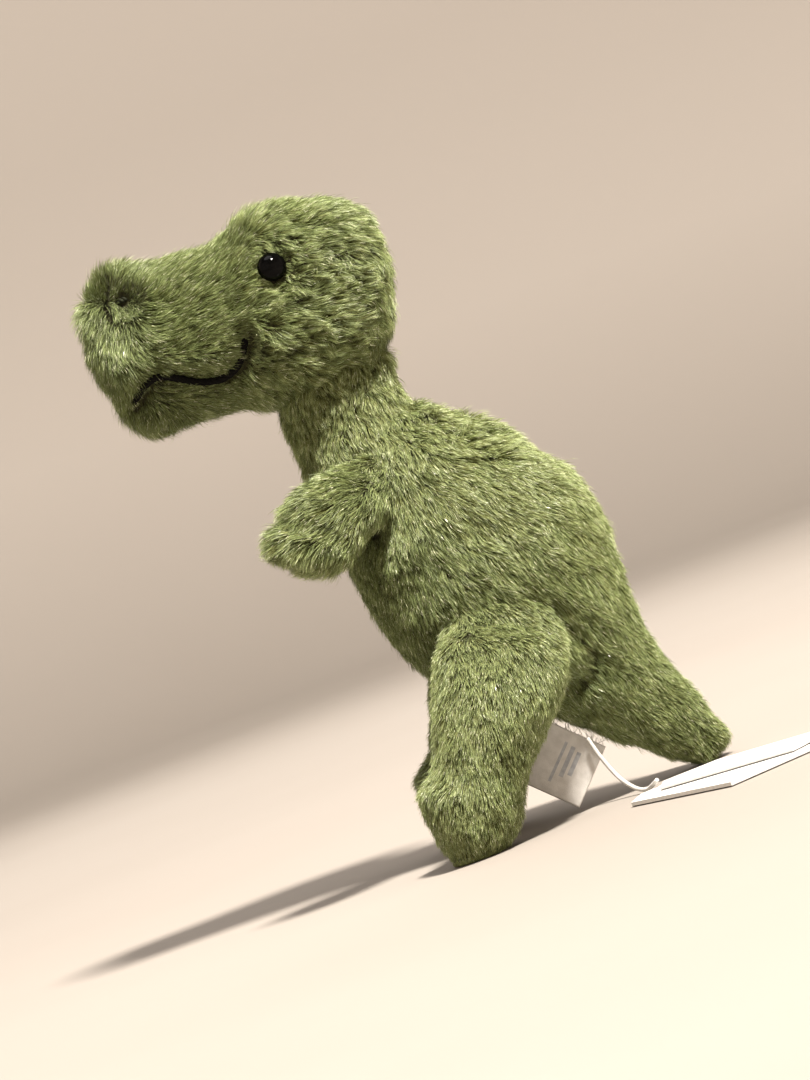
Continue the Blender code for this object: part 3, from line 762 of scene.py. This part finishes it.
def past(points, blend):
    """How far each point lies along a bend: 0 at its start, 1 at its end."""
    start, end = (np.array(v) for v in blend)
    return (points - start) @ (end - start) / ((end - start) @ (end - start))


def bend_or_ride(obj, part):
    """Applies the transform of a piece of the neck or tail to its mesh, and gives any other piece its body.
    """
    bends = {"neck": NECK_BLEND, "tail": TAIL_BLEND}
    if part in bends:
        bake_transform(obj)
    else:
        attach(obj, part)


TRUNK_PARTS = ("torso", "neck", "tail")


def trunk_parts(points):
    """Which of TRUNK_PARTS each point belongs to."""
    return np.select([past(points, NECK_BLEND) > -0.1, past(points, TAIL_BLEND) > -0.1], [1, 2], 0)


STANDS_FOR = {
    "torso": ["body_panel_left", "body_panel_right", "belly_gusset", "body_stuffing"],
    "neck": ["neck_sleeve", "neck_stuffing"],
    "tail": ["tail_panel_left", "tail_panel_right", "tail_stuffing"],
    "head": ["head_panel_left", "head_panel_right", "head_gusset", "head_stuffing"],
}
for one in ("left", "right"):
    STANDS_FOR[f"arm_{one}"] = [f"arm_cover_{one}", f"arm_stuffing_{one}"]
    STANDS_FOR[f"leg_{one}"] = [f"leg_cover_{one}", f"leg_stuffing_{one}"]


def add_backs(backs, material):
    """The fabric under the pile, one piece to each body."""
    for name, form in backs.items():
        points = on_floor(in_frame(form.points), BACKING_CLEAR)
        if name != "trunk":
            finish_back(mesh_object(f"{name}_backing", points, form.faces, [material]), name)
            continue
        middles = np.array([form.points[list(f)].mean(0) for f in form.faces])
        belongs = trunk_parts(middles)
        for k, part in enumerate(TRUNK_PARTS):
            faces = [f for f, b in zip(form.faces, belongs) if b == k]
            used = sorted({i for f in faces for i in f})
            place = {i: n for n, i in enumerate(used)}
            own = [[place[i] for i in f] for f in faces]
            finish_back(mesh_object(f"{part}_backing", points[used], own, [material]), part)


def finish_back(obj, part):
    bend_or_ride(obj, part)
    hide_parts(*STANDS_FOR[part])


def add_fur(grown, materials):
    """The strands, in pieces of a size that the exporter can take."""
    for name, (lines, normals, shade, luck) in grown.items():
        groups = {name: np.ones(len(lines), bool)}
        if name == "trunk":
            belongs = trunk_parts(lines[:, 0])
            groups = {part: belongs == k for k, part in enumerate(TRUNK_PARTS)}
        slots = strand_slots(shade, luck)
        for part, mask in groups.items():
            chosen = np.nonzero(mask)[0]
            pieces = np.array_split(chosen, math.ceil(len(chosen) / STRANDS_PER_PIECE))
            for k, some in enumerate(pieces):
                title = f"{part}_pile_{k + 1}"
                obj = fur_object(title, lines[some], normals[some], slots[some], materials, 500 + k)
                bend_or_ride(obj, part)


# Small pieces
def on_surface(form, y, z, side=1):
    """The point of a form's side over a place in the profile, and the normal there."""
    point, normal, _, _ = form.tree().ray_cast(Vector((side * 80, y, z)), Vector((-side, 0, 0)))
    return point, normal


def tube_points(path, radius, sides, taper=0.0):
    """Points and faces of a closed tube along a path of points."""
    path = np.asarray(path, float)
    ahead = unit(np.gradient(path, axis=0))
    first = unit(np.cross(ahead[0], [0.3, 0.1, 1.0]))
    frames = [first]
    for way in ahead[1:]:
        frames.append(unit(frames[-1] - way * (frames[-1] @ way)))
    u = np.array(frames)
    v = np.cross(ahead, u)
    turn = 2 * np.pi * np.arange(sides) / sides
    edge = np.minimum(np.arange(len(path)), np.arange(len(path))[::-1])
    wide = radius * (1 - taper * np.exp(-edge / 1.5))[:, None, None]
    rings = path[:, None] + wide * (np.cos(turn)[:, None] * u[:, None] + np.sin(turn)[:, None] * v[:, None])
    points = np.vstack([rings.reshape(-1, 3), path[:1], path[-1:]])
    tip = len(points) - 2
    faces = ring_faces(len(path), sides) + cap_faces(tip, 0, sides)
    faces = [f[::-1] for f in faces]
    return points, faces + cap_faces(tip + 1, tip - sides, sides)


def joined(parts):
    """Points and faces of several meshes as one."""
    points, faces = [], []
    for some, own in parts:
        faces += [tuple(i + len(points) for i in f) for f in own]
        points += list(some)
    return points, faces


def turned(profile, turns):
    """Points and faces of a profile of (radius, height) turned about z; it starts and ends on the axis."""
    rows = len(profile) - 2
    points = turned_rings(profile[1:-1], turns)
    points += [(0, 0, profile[0][1]), (0, 0, profile[-1][1])]
    low = rows * turns
    faces = ring_faces(rows, turns) + cap_faces(low, 0, turns)
    faces += [f[::-1] for f in cap_faces(low + 1, low - turns, turns)]
    return np.array(points), faces


def turned_rings(profile, turns):
    """Rings of points, one for each (radius, height)."""
    angles = [2 * math.pi * k / turns for k in range(turns)]
    return [(r * math.cos(a), r * math.sin(a), h) for r, h in profile for a in angles]


def travelled(path):
    """The distance along a path at each of its points."""
    return np.concatenate([[0], np.cumsum(np.linalg.norm(np.diff(path, axis=0), axis=1))])


def evenly(path, step):
    """Points at even distances along a smooth curve through the path."""
    fine = spread([(*p, 0, 0) for p in path], 24)[0]
    run = travelled(fine)
    places = np.linspace(0, run[-1], max(3, int(run[-1] / step)))
    return np.stack([np.interp(places, run, fine[:, k]) for k in range(3)], 1)


def twisted(name, path, radius, plies, pitch, material, step=0.25):
    """Thread: plies wound round each other along a path, in the profile."""
    path = evenly(path, step)
    ahead = unit(np.gradient(path, axis=0))
    u = unit(np.cross(ahead, [0.2, 0.3, 1.0]))
    v = np.cross(ahead, u)
    parts = []
    for ply in range(plies):
        turn = 2 * np.pi * (travelled(path) / pitch + ply / plies)
        line = path + radius * 0.5 * (np.cos(turn)[:, None] * u + np.sin(turn)[:, None] * v)
        parts.append(tube_points(line, radius * 0.56, 10, 0.5))
    points, faces = joined(parts)
    return mesh_object(name, in_frame(points), faces, [material])


def eye_profile():
    """A toy's safety eye: a shank for the lock washer, a flat back, a rim and a dome."""
    height = 0.86 * EYE_RADIUS
    dome = [(EYE_RADIUS * math.cos(a), height * math.sin(a)) for a in np.radians(np.linspace(0, 86, 24))]
    shank = [(0, -7.0), (1.0, -7.0), (1.2, -6.6), (1.2, -1.5), (3.0, -1.4), (3.7, -1.0)]
    return [*shank, *dome, (0, height)]


def add_face(head):
    """Bead eyes, the stitched smile and the thread in each nostril."""
    jet = ((0.0008, 0.0008, 0.0008), (0.0018, 0.0016, 0.0014))
    soot = ((0.002, 0.002, 0.002), (0.008, 0.007, 0.006))
    glass = noisy("bead_eye", *jet, 500, 0.05, 0, Specular_IOR_Level=0.075)
    black = noisy("mouth_thread", *soot, 3000, 0.9, 0.5, 9000, Specular_IOR_Level=0.1)
    dark = noisy("nostril_thread", (0.010, 0.012, 0.004), (0.028, 0.034, 0.010), 3000, 0.85, 0.5, 9000)
    for side, hand in ((1, "left"), (-1, "right")):
        skin, _ = on_surface(head, *EYE, side)
        out = Vector((side * math.cos(EYE_TILT), 0, math.sin(EYE_TILT)))
        turn = np.array(out.to_track_quat("Z", "Y").to_matrix())
        points, faces = turned(eye_profile(), 64)
        points = points @ turn.T + np.array(skin + out * 1.6)
        eye = mesh_object(f"eye_bead_{hand}", in_frame(points), faces, [glass])
        line = []
        for y, z in MOUTH:
            point, normal = on_surface(head, y, z, side)
            line.append(point + normal * 0.9)
        smile = twisted(f"smile_{hand}", line, 1.0, 4, 7.0, black)
        pit, normal = on_surface(head, *NOSTRIL, side)
        ends = [pit + normal * 0.2 + Vector((0, way * 1.3, way * 0.4)) for way in (-1, 0, 1)]
        nostril = twisted(f"nostril_{hand}", ends, 0.8, 2, 2.4, dark, 0.2)
        pieces = (
            (eye, f"eye_{hand}", "bead_eye"),
            (smile, f"mouth_stitch_{hand}", "mouth_thread"),
            (nostril, f"nostril_stitch_{hand}", "green_thread"),
        )
        for obj, node, slot in pieces:
            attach(obj, "head")
            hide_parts(node)


def add_soles():
    """Round felt soles with a soft edge, the size of the CAD's."""
    felt = noisy("sole_fabric", (0.10, 0.115, 0.035), (0.21, 0.24, 0.085), 700, 0.95, 0.7, 2200)
    for hand in ("left", "right"):
        low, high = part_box(f"sole_{hand}")
        centre = (low + high) / 2
        radius, thick = (high.x - low.x) / 2, high.z - low.z
        under = [(0.0, 0.0), (0.5, 0.0), (0.86, 0.02), (0.96, 0.12), (1.0, 0.35)]
        over = [(0.99, 0.7), (0.93, 0.95), (0.8, 1.0), (0.4, 1.0), (0.0, 1.0)]
        points, faces = turned(under + over, 72)
        points = points * np.array([radius, radius, thick]) + np.array([centre.x, centre.y, low.z])
        sole = mesh_object(f"sole_pad_{hand}", points, faces, [felt])
        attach(sole, f"leg_{hand}")
        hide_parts(f"sole_{hand}")


def satin_material(name="satin"):
    """Woven satin: fine ribs across, and a soft sheen."""
    return noisy(name, (0.50, 0.48, 0.45), (0.60, 0.58, 0.55), 400, 0.42, 0.25, 4500, Sheen_Weight=0.3)


# The label's size in millimetres, its cells, and its place in the profile
LABEL_WIDTH, LABEL_LENGTH, LABEL_THICK = 16.5, 18.0, 0.12
LABEL_ACROSS, LABEL_ALONG = 40, 90
LABEL_BARS = ((-0.25, 0.18, 0.82), (0.02, 0.2, 0.7), (0.27, 0.25, 0.62))  # middle across, then start and end
LABEL_PLACE = Matrix.Translation((9.5, 29.0, 34.0)) @ Matrix.Rotation(math.radians(-24.0), 4, "X")


def label_layers():
    """The two faces of the folded strip: down one side, round the fold and up the other, with a soft wave."""
    u, run = np.meshgrid(np.linspace(-1, 1, LABEL_ACROSS + 1), np.linspace(-1, 1, LABEL_ALONG + 1))
    v = 1 - np.abs(run)
    gap = (0.28 * np.sin(np.pi * v) + 0.10) * -np.clip(run * 12, -1, 1)
    wave = 0.35 * np.sin(2.2 * u + 1.0) * v + 0.22 * np.sin(5.0 * v + 2 * u)
    across = u * LABEL_WIDTH / 2 * (1 - 0.012 * np.cos(3 * v))
    middle = np.stack([gap + wave + 0.5 * v**2, across, -v * LABEL_LENGTH], -1)
    out = unit(np.cross(np.gradient(middle, axis=1), np.gradient(middle, axis=0)))
    turn, shift = np.array(LABEL_PLACE)[:3, :3], np.array(LABEL_PLACE)[:3, 3]
    return [(middle + side * out * LABEL_THICK / 2).reshape(-1, 3) @ turn.T + shift for side in (1, -1)]


def label_spot(layer, i, j):
    """The index of a point of a layer, counted across and then along."""
    row = LABEL_ACROSS + 1
    return layer * row * (LABEL_ALONG + 1) + j * row + i


def label_ink(i, j):
    """Whether a cell of the label's outer side is in one of the bars."""
    at, low = 2 * (i + 0.5) / LABEL_ACROSS - 1, 2 * (j + 0.5) / LABEL_ALONG
    in_bar = (abs(at - middle) < 0.055 and start < low < end for middle, start, end in LABEL_BARS)
    return low < 1 and any(in_bar)


def label_faces():
    """Cells of both layers and of the strip's edge, and the slot of each."""
    faces, slots = [], []
    for layer in (0, 1):
        for j in range(LABEL_ALONG):
            for i in range(LABEL_ACROSS):
                corners = ((i, j), (i + 1, j), (i + 1, j + 1), (i, j + 1))
                face = [label_spot(layer, *corner) for corner in corners]
                faces.append(face[::-1] if layer else face)
                slots.append(int(label_ink(i, j)))
    edge = [(i, 0) for i in range(LABEL_ACROSS)] + [(LABEL_ACROSS, j) for j in range(LABEL_ALONG)]
    edge += [(i, LABEL_ALONG) for i in range(LABEL_ACROSS, 0, -1)]
    edge += [(0, j) for j in range(LABEL_ALONG, -1, -1)]
    for a, b in zip(edge, edge[1:]):
        faces.append((label_spot(0, *a), label_spot(1, *a), label_spot(1, *b), label_spot(0, *b)))
        slots.append(0)
    return faces, slots


def frayed_tape(material):
    """Loose threads along the top of the label."""
    rng = np.random.default_rng(77)
    threads = []
    for _ in range(46):
        u = rng.uniform(-0.95, 0.95)
        foot = LABEL_PLACE @ Vector((rng.uniform(-0.3, 0.5), u * LABEL_WIDTH / 2, -0.3))
        tip = foot + Vector((rng.normal(0.3, 0.5), rng.normal(0, 0.7), rng.uniform(0.6, 2.3)))
        threads.append(tube_points([foot, (foot + tip) / 2 + Vector((0.1, 0.1, 0)), tip], 0.07, 5))
    points, faces = joined(threads)
    return mesh_object("label_fray", in_frame(points), faces, [material])


def add_label():
    """A folded satin label with a frayed tape above it, and faint printed bars that say nothing."""
    satin = satin_material()
    ink = noisy("faint_ink", (0.30, 0.31, 0.33), (0.40, 0.41, 0.43), 900, 0.6, 0.1, 3000)
    faces, slots = label_faces()
    label = mesh_object("label_loop", in_frame(np.vstack(label_layers())), faces, [satin, ink], slots)
    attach(label, "label")
    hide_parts("sewn_label")
    fray = frayed_tape(satin)
    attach(fray, "label")


def add_closing_stitch(back):
    """A ladder of thread down the seam of the back, deep in the pile."""
    thread = noisy("seam_thread", (0.03, 0.036, 0.012), (0.08, 0.095, 0.03), 2000, 0.8, 0.4, 8000)
    centres, tall, _ = spread(TRUNK, 12)
    line = []
    for place in np.linspace(4.9, 5.7, 9):
        k = int(round(place * 12))
        ahead = unit(centres[k + 1] - centres[k - 1])
        up = np.cross(ahead, [1, 0, 0])
        found, normal, _, _ = back.tree().ray_cast(Vector(centres[k] + up * 60), Vector(-up))
        line.append(found + normal * 0.35)
    rungs = []
    for a, b in zip(line, line[1:]):
        middle = (a + b) / 2 + Vector((0, 0.1, 0.25))
        for side in (0.9, -0.9):
            ends = [a + Vector((side, 0, 0)), middle, b - Vector((side, 0, 0))]
            rungs.append(tube_points(ends, 0.28, 8))
    points, faces = joined(rungs)
    stitch = mesh_object("seam_stitches", in_frame(points), faces, [thread])
    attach(stitch, "torso")
    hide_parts("closing_stitch")


def dress(node, material):
    """Gives a CAD node that stays in view its own material."""
    obj = frame["nodes"][node]
    obj.data.materials.clear()
    obj.data.materials.append(material)


RIBBON_WIDTH = 0.0012
RIBBON_ROUTE = [
    (12.4, 29, 18.5),
    (13.2, 30.5, 12.5),
    (15, 33, 6),
    (19, 36, 2),
    (25, 38.5, 1),
    (31, 40, 2),
    (35, 41.5, 3.2),
]  # millimetres in the frame, from the seam to the cards


def add_cards():
    """The ribbon and its two blank cards, which lie on the floor behind the left foot."""
    path = evenly(RIBBON_ROUTE, 0.5) * MM
    points, faces = tube_points(path, RIBBON_WIDTH / 2, 14)
    ribbon = mesh_object("ribbon", points, faces, [satin_material("ribbon_satin")])
    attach(ribbon, "torso")
    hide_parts("card_ribbon")
    paper = noisy("card_paper", (0.60, 0.585, 0.56), (0.70, 0.68, 0.655), 1200, 0.55, 0.12, 6000)
    cards = ["booklet_card", "price_card"]
    for card in cards:
        dress(card, paper)


def dress_inner():
    """The pouch of beads and the eyes' lock washers stay as the model has them, with their own finishes."""
    cloth = noisy("pouch_weave", (0.42, 0.40, 0.36), (0.58, 0.56, 0.50), 900, 0.9, 0.5, 4000)
    plastic = noisy("washer_plastic", (0.55, 0.55, 0.52), (0.68, 0.68, 0.65), 500, 0.35, 0.05, 2000)
    dress("bead_pouch", cloth)
    dress("eye_washer_left", plastic)
    dress("eye_washer_right", plastic)


# Camera, floor and light
LOOK_AT = (0, -17.7, 86.4)  # the middle of the view, in the profile
DISTANCE, HALF_VIEW = 1150, 147  # millimetres to that place, and from it to the top of the view
SENSOR_HEIGHT = 36
WARM, SOFT_WARM = (1.0, 0.94, 0.86), (1.0, 0.96, 0.92)


def look_from(azimuth, elevation, distance):
    """A place and a turn that look at LOOK_AT from the profile: the toy's own up stays up."""
    a, e = math.radians(azimuth), math.radians(elevation)
    back = Vector((math.sin(a) * math.cos(e), -math.cos(a) * math.cos(e), math.sin(e)))
    turn = (-back).to_track_quat("-Z", "Y").to_matrix()
    return STANCE @ (Vector(LOOK_AT) + back * distance), TILT @ turn


def add_camera():
    """A long lens on the toy's left side."""
    data = bpy.data.cameras.new("camera")
    camera = bpy.data.objects.new("camera", data)
    bpy.context.scene.collection.objects.link(camera)
    place, turn = look_from(89.2, 0.5, DISTANCE)
    camera.matrix_world = Matrix.Translation(place) @ turn.to_4x4()
    data.sensor_fit = "VERTICAL"
    data.sensor_height = SENSOR_HEIGHT
    data.lens = SENSOR_HEIGHT / 2 / (HALF_VIEW / DISTANCE)
    data.clip_start, data.clip_end = 0.01, 20
    bpy.context.scene.camera = camera


def add_light(name, place, aim, size, power, colour):
    data = bpy.data.lights.new(name, "AREA")
    data.shape = "DISK"
    data.size = size
    data.energy = power
    data.color = colour
    light = bpy.data.objects.new(name, data)
    bpy.context.scene.collection.objects.link(light)
    light.location = place
    light.rotation_mode = "QUATERNION"
    light.rotation_quaternion = (Vector(aim) - Vector(place)).to_track_quat("-Z", "Y")
    return light


def stage_material():
    """Matt paper, a little lighter up the wall than on the floor, where the key light falls full on it."""
    made = noisy("stage_paper", (0.242, 0.214, 0.187), (0.254, 0.226, 0.199), 3, 0.95, 0)
    nodes, links = made.node_tree.nodes, made.node_tree.links
    shader, where, ramp = nodes["Principled BSDF"], nodes["Texture Coordinate"], nodes["Color Ramp"]
    split = nodes.new("ShaderNodeSeparateXYZ")
    height = nodes.new("ShaderNodeMapRange")
    height.inputs["From Max"].default_value = 0.2
    mix = nodes.new("ShaderNodeMix")
    mix.data_type = "RGBA"
    floor, wall = [socket for socket in mix.inputs if socket.type == "RGBA"]
    wall.default_value = (0.333, 0.297, 0.264, 1)
    mixed = [socket for socket in mix.outputs if socket.type == "RGBA"]
    links.new(where.outputs["Object"], split.inputs["Vector"])
    links.new(split.outputs["Z"], height.inputs["Value"])
    links.new(height.outputs["Result"], mix.inputs["Factor"])
    links.new(ramp.outputs["Color"], floor)
    links.new(mixed[0], shader.inputs["Base Color"])
    return made


def stage_mesh():
    """A floor that curves up into a round wall, in metres."""
    flat, curve, top, turns = 1.5, 0.4, 3.0, 72
    profile = [(0.4, 0), (0.9, 0), (1.4, 0), (flat, 0)]
    for a in np.radians(np.arange(10, 91, 10)):
        profile.append((flat + curve * math.sin(a), curve - curve * math.cos(a)))
    profile += [(flat + curve, 1.4), (flat + curve, top)]
    points = [*turned_rings(profile, turns), (0, 0, 0)]
    faces = ring_faces(len(profile), turns) + cap_faces(len(points) - 1, 0, turns)
    return mesh_object("stage", points, faces, [stage_material()])


def add_stage():
    """The floor and the wall, a dim warm world, a small key light overhead and three weak wide ones."""
    stage = stage_mesh()
    world = bpy.data.worlds.new("world")
    bpy.context.scene.world = world
    world.use_nodes = True
    background = world.node_tree.nodes["Background"]
    background.inputs["Color"].default_value = (1.0, 0.95, 0.90, 1)
    background.inputs["Strength"].default_value = 0.04
    aim = STANCE @ Vector((0, -17.7, 90))
    key = add_light("key", look_from(84, 68, 2000)[0], aim, 0.26, 150.0, WARM)
    fill = add_light("fill", look_from(40, 18, 900)[0], aim, 0.9, 0.5, SOFT_WARM)
    far_side = add_light("far_side", look_from(290, 30, 1000)[0], aim, 1.0, 6.0, SOFT_WARM)
    wash = add_light("wash", (0, 0, 2.4), (-1.7, 0, 0.2), 1.6, 25.0, SOFT_WARM)
    bpy.context.scene.view_settings.view_transform = "Standard"


def main():
    forms = build_forms()
    backs = {name: form.copy(pile_height(name, form.points)) for name, form in forms.items()}
    add_backs(backs, backing_material())
    add_fur(grow_all(backs), fur_materials())
    add_face(backs["head"])
    add_soles()
    add_label()
    add_closing_stitch(backs["trunk"])
    add_cards()
    dress_inner()
    add_camera()
    add_stage()


main()
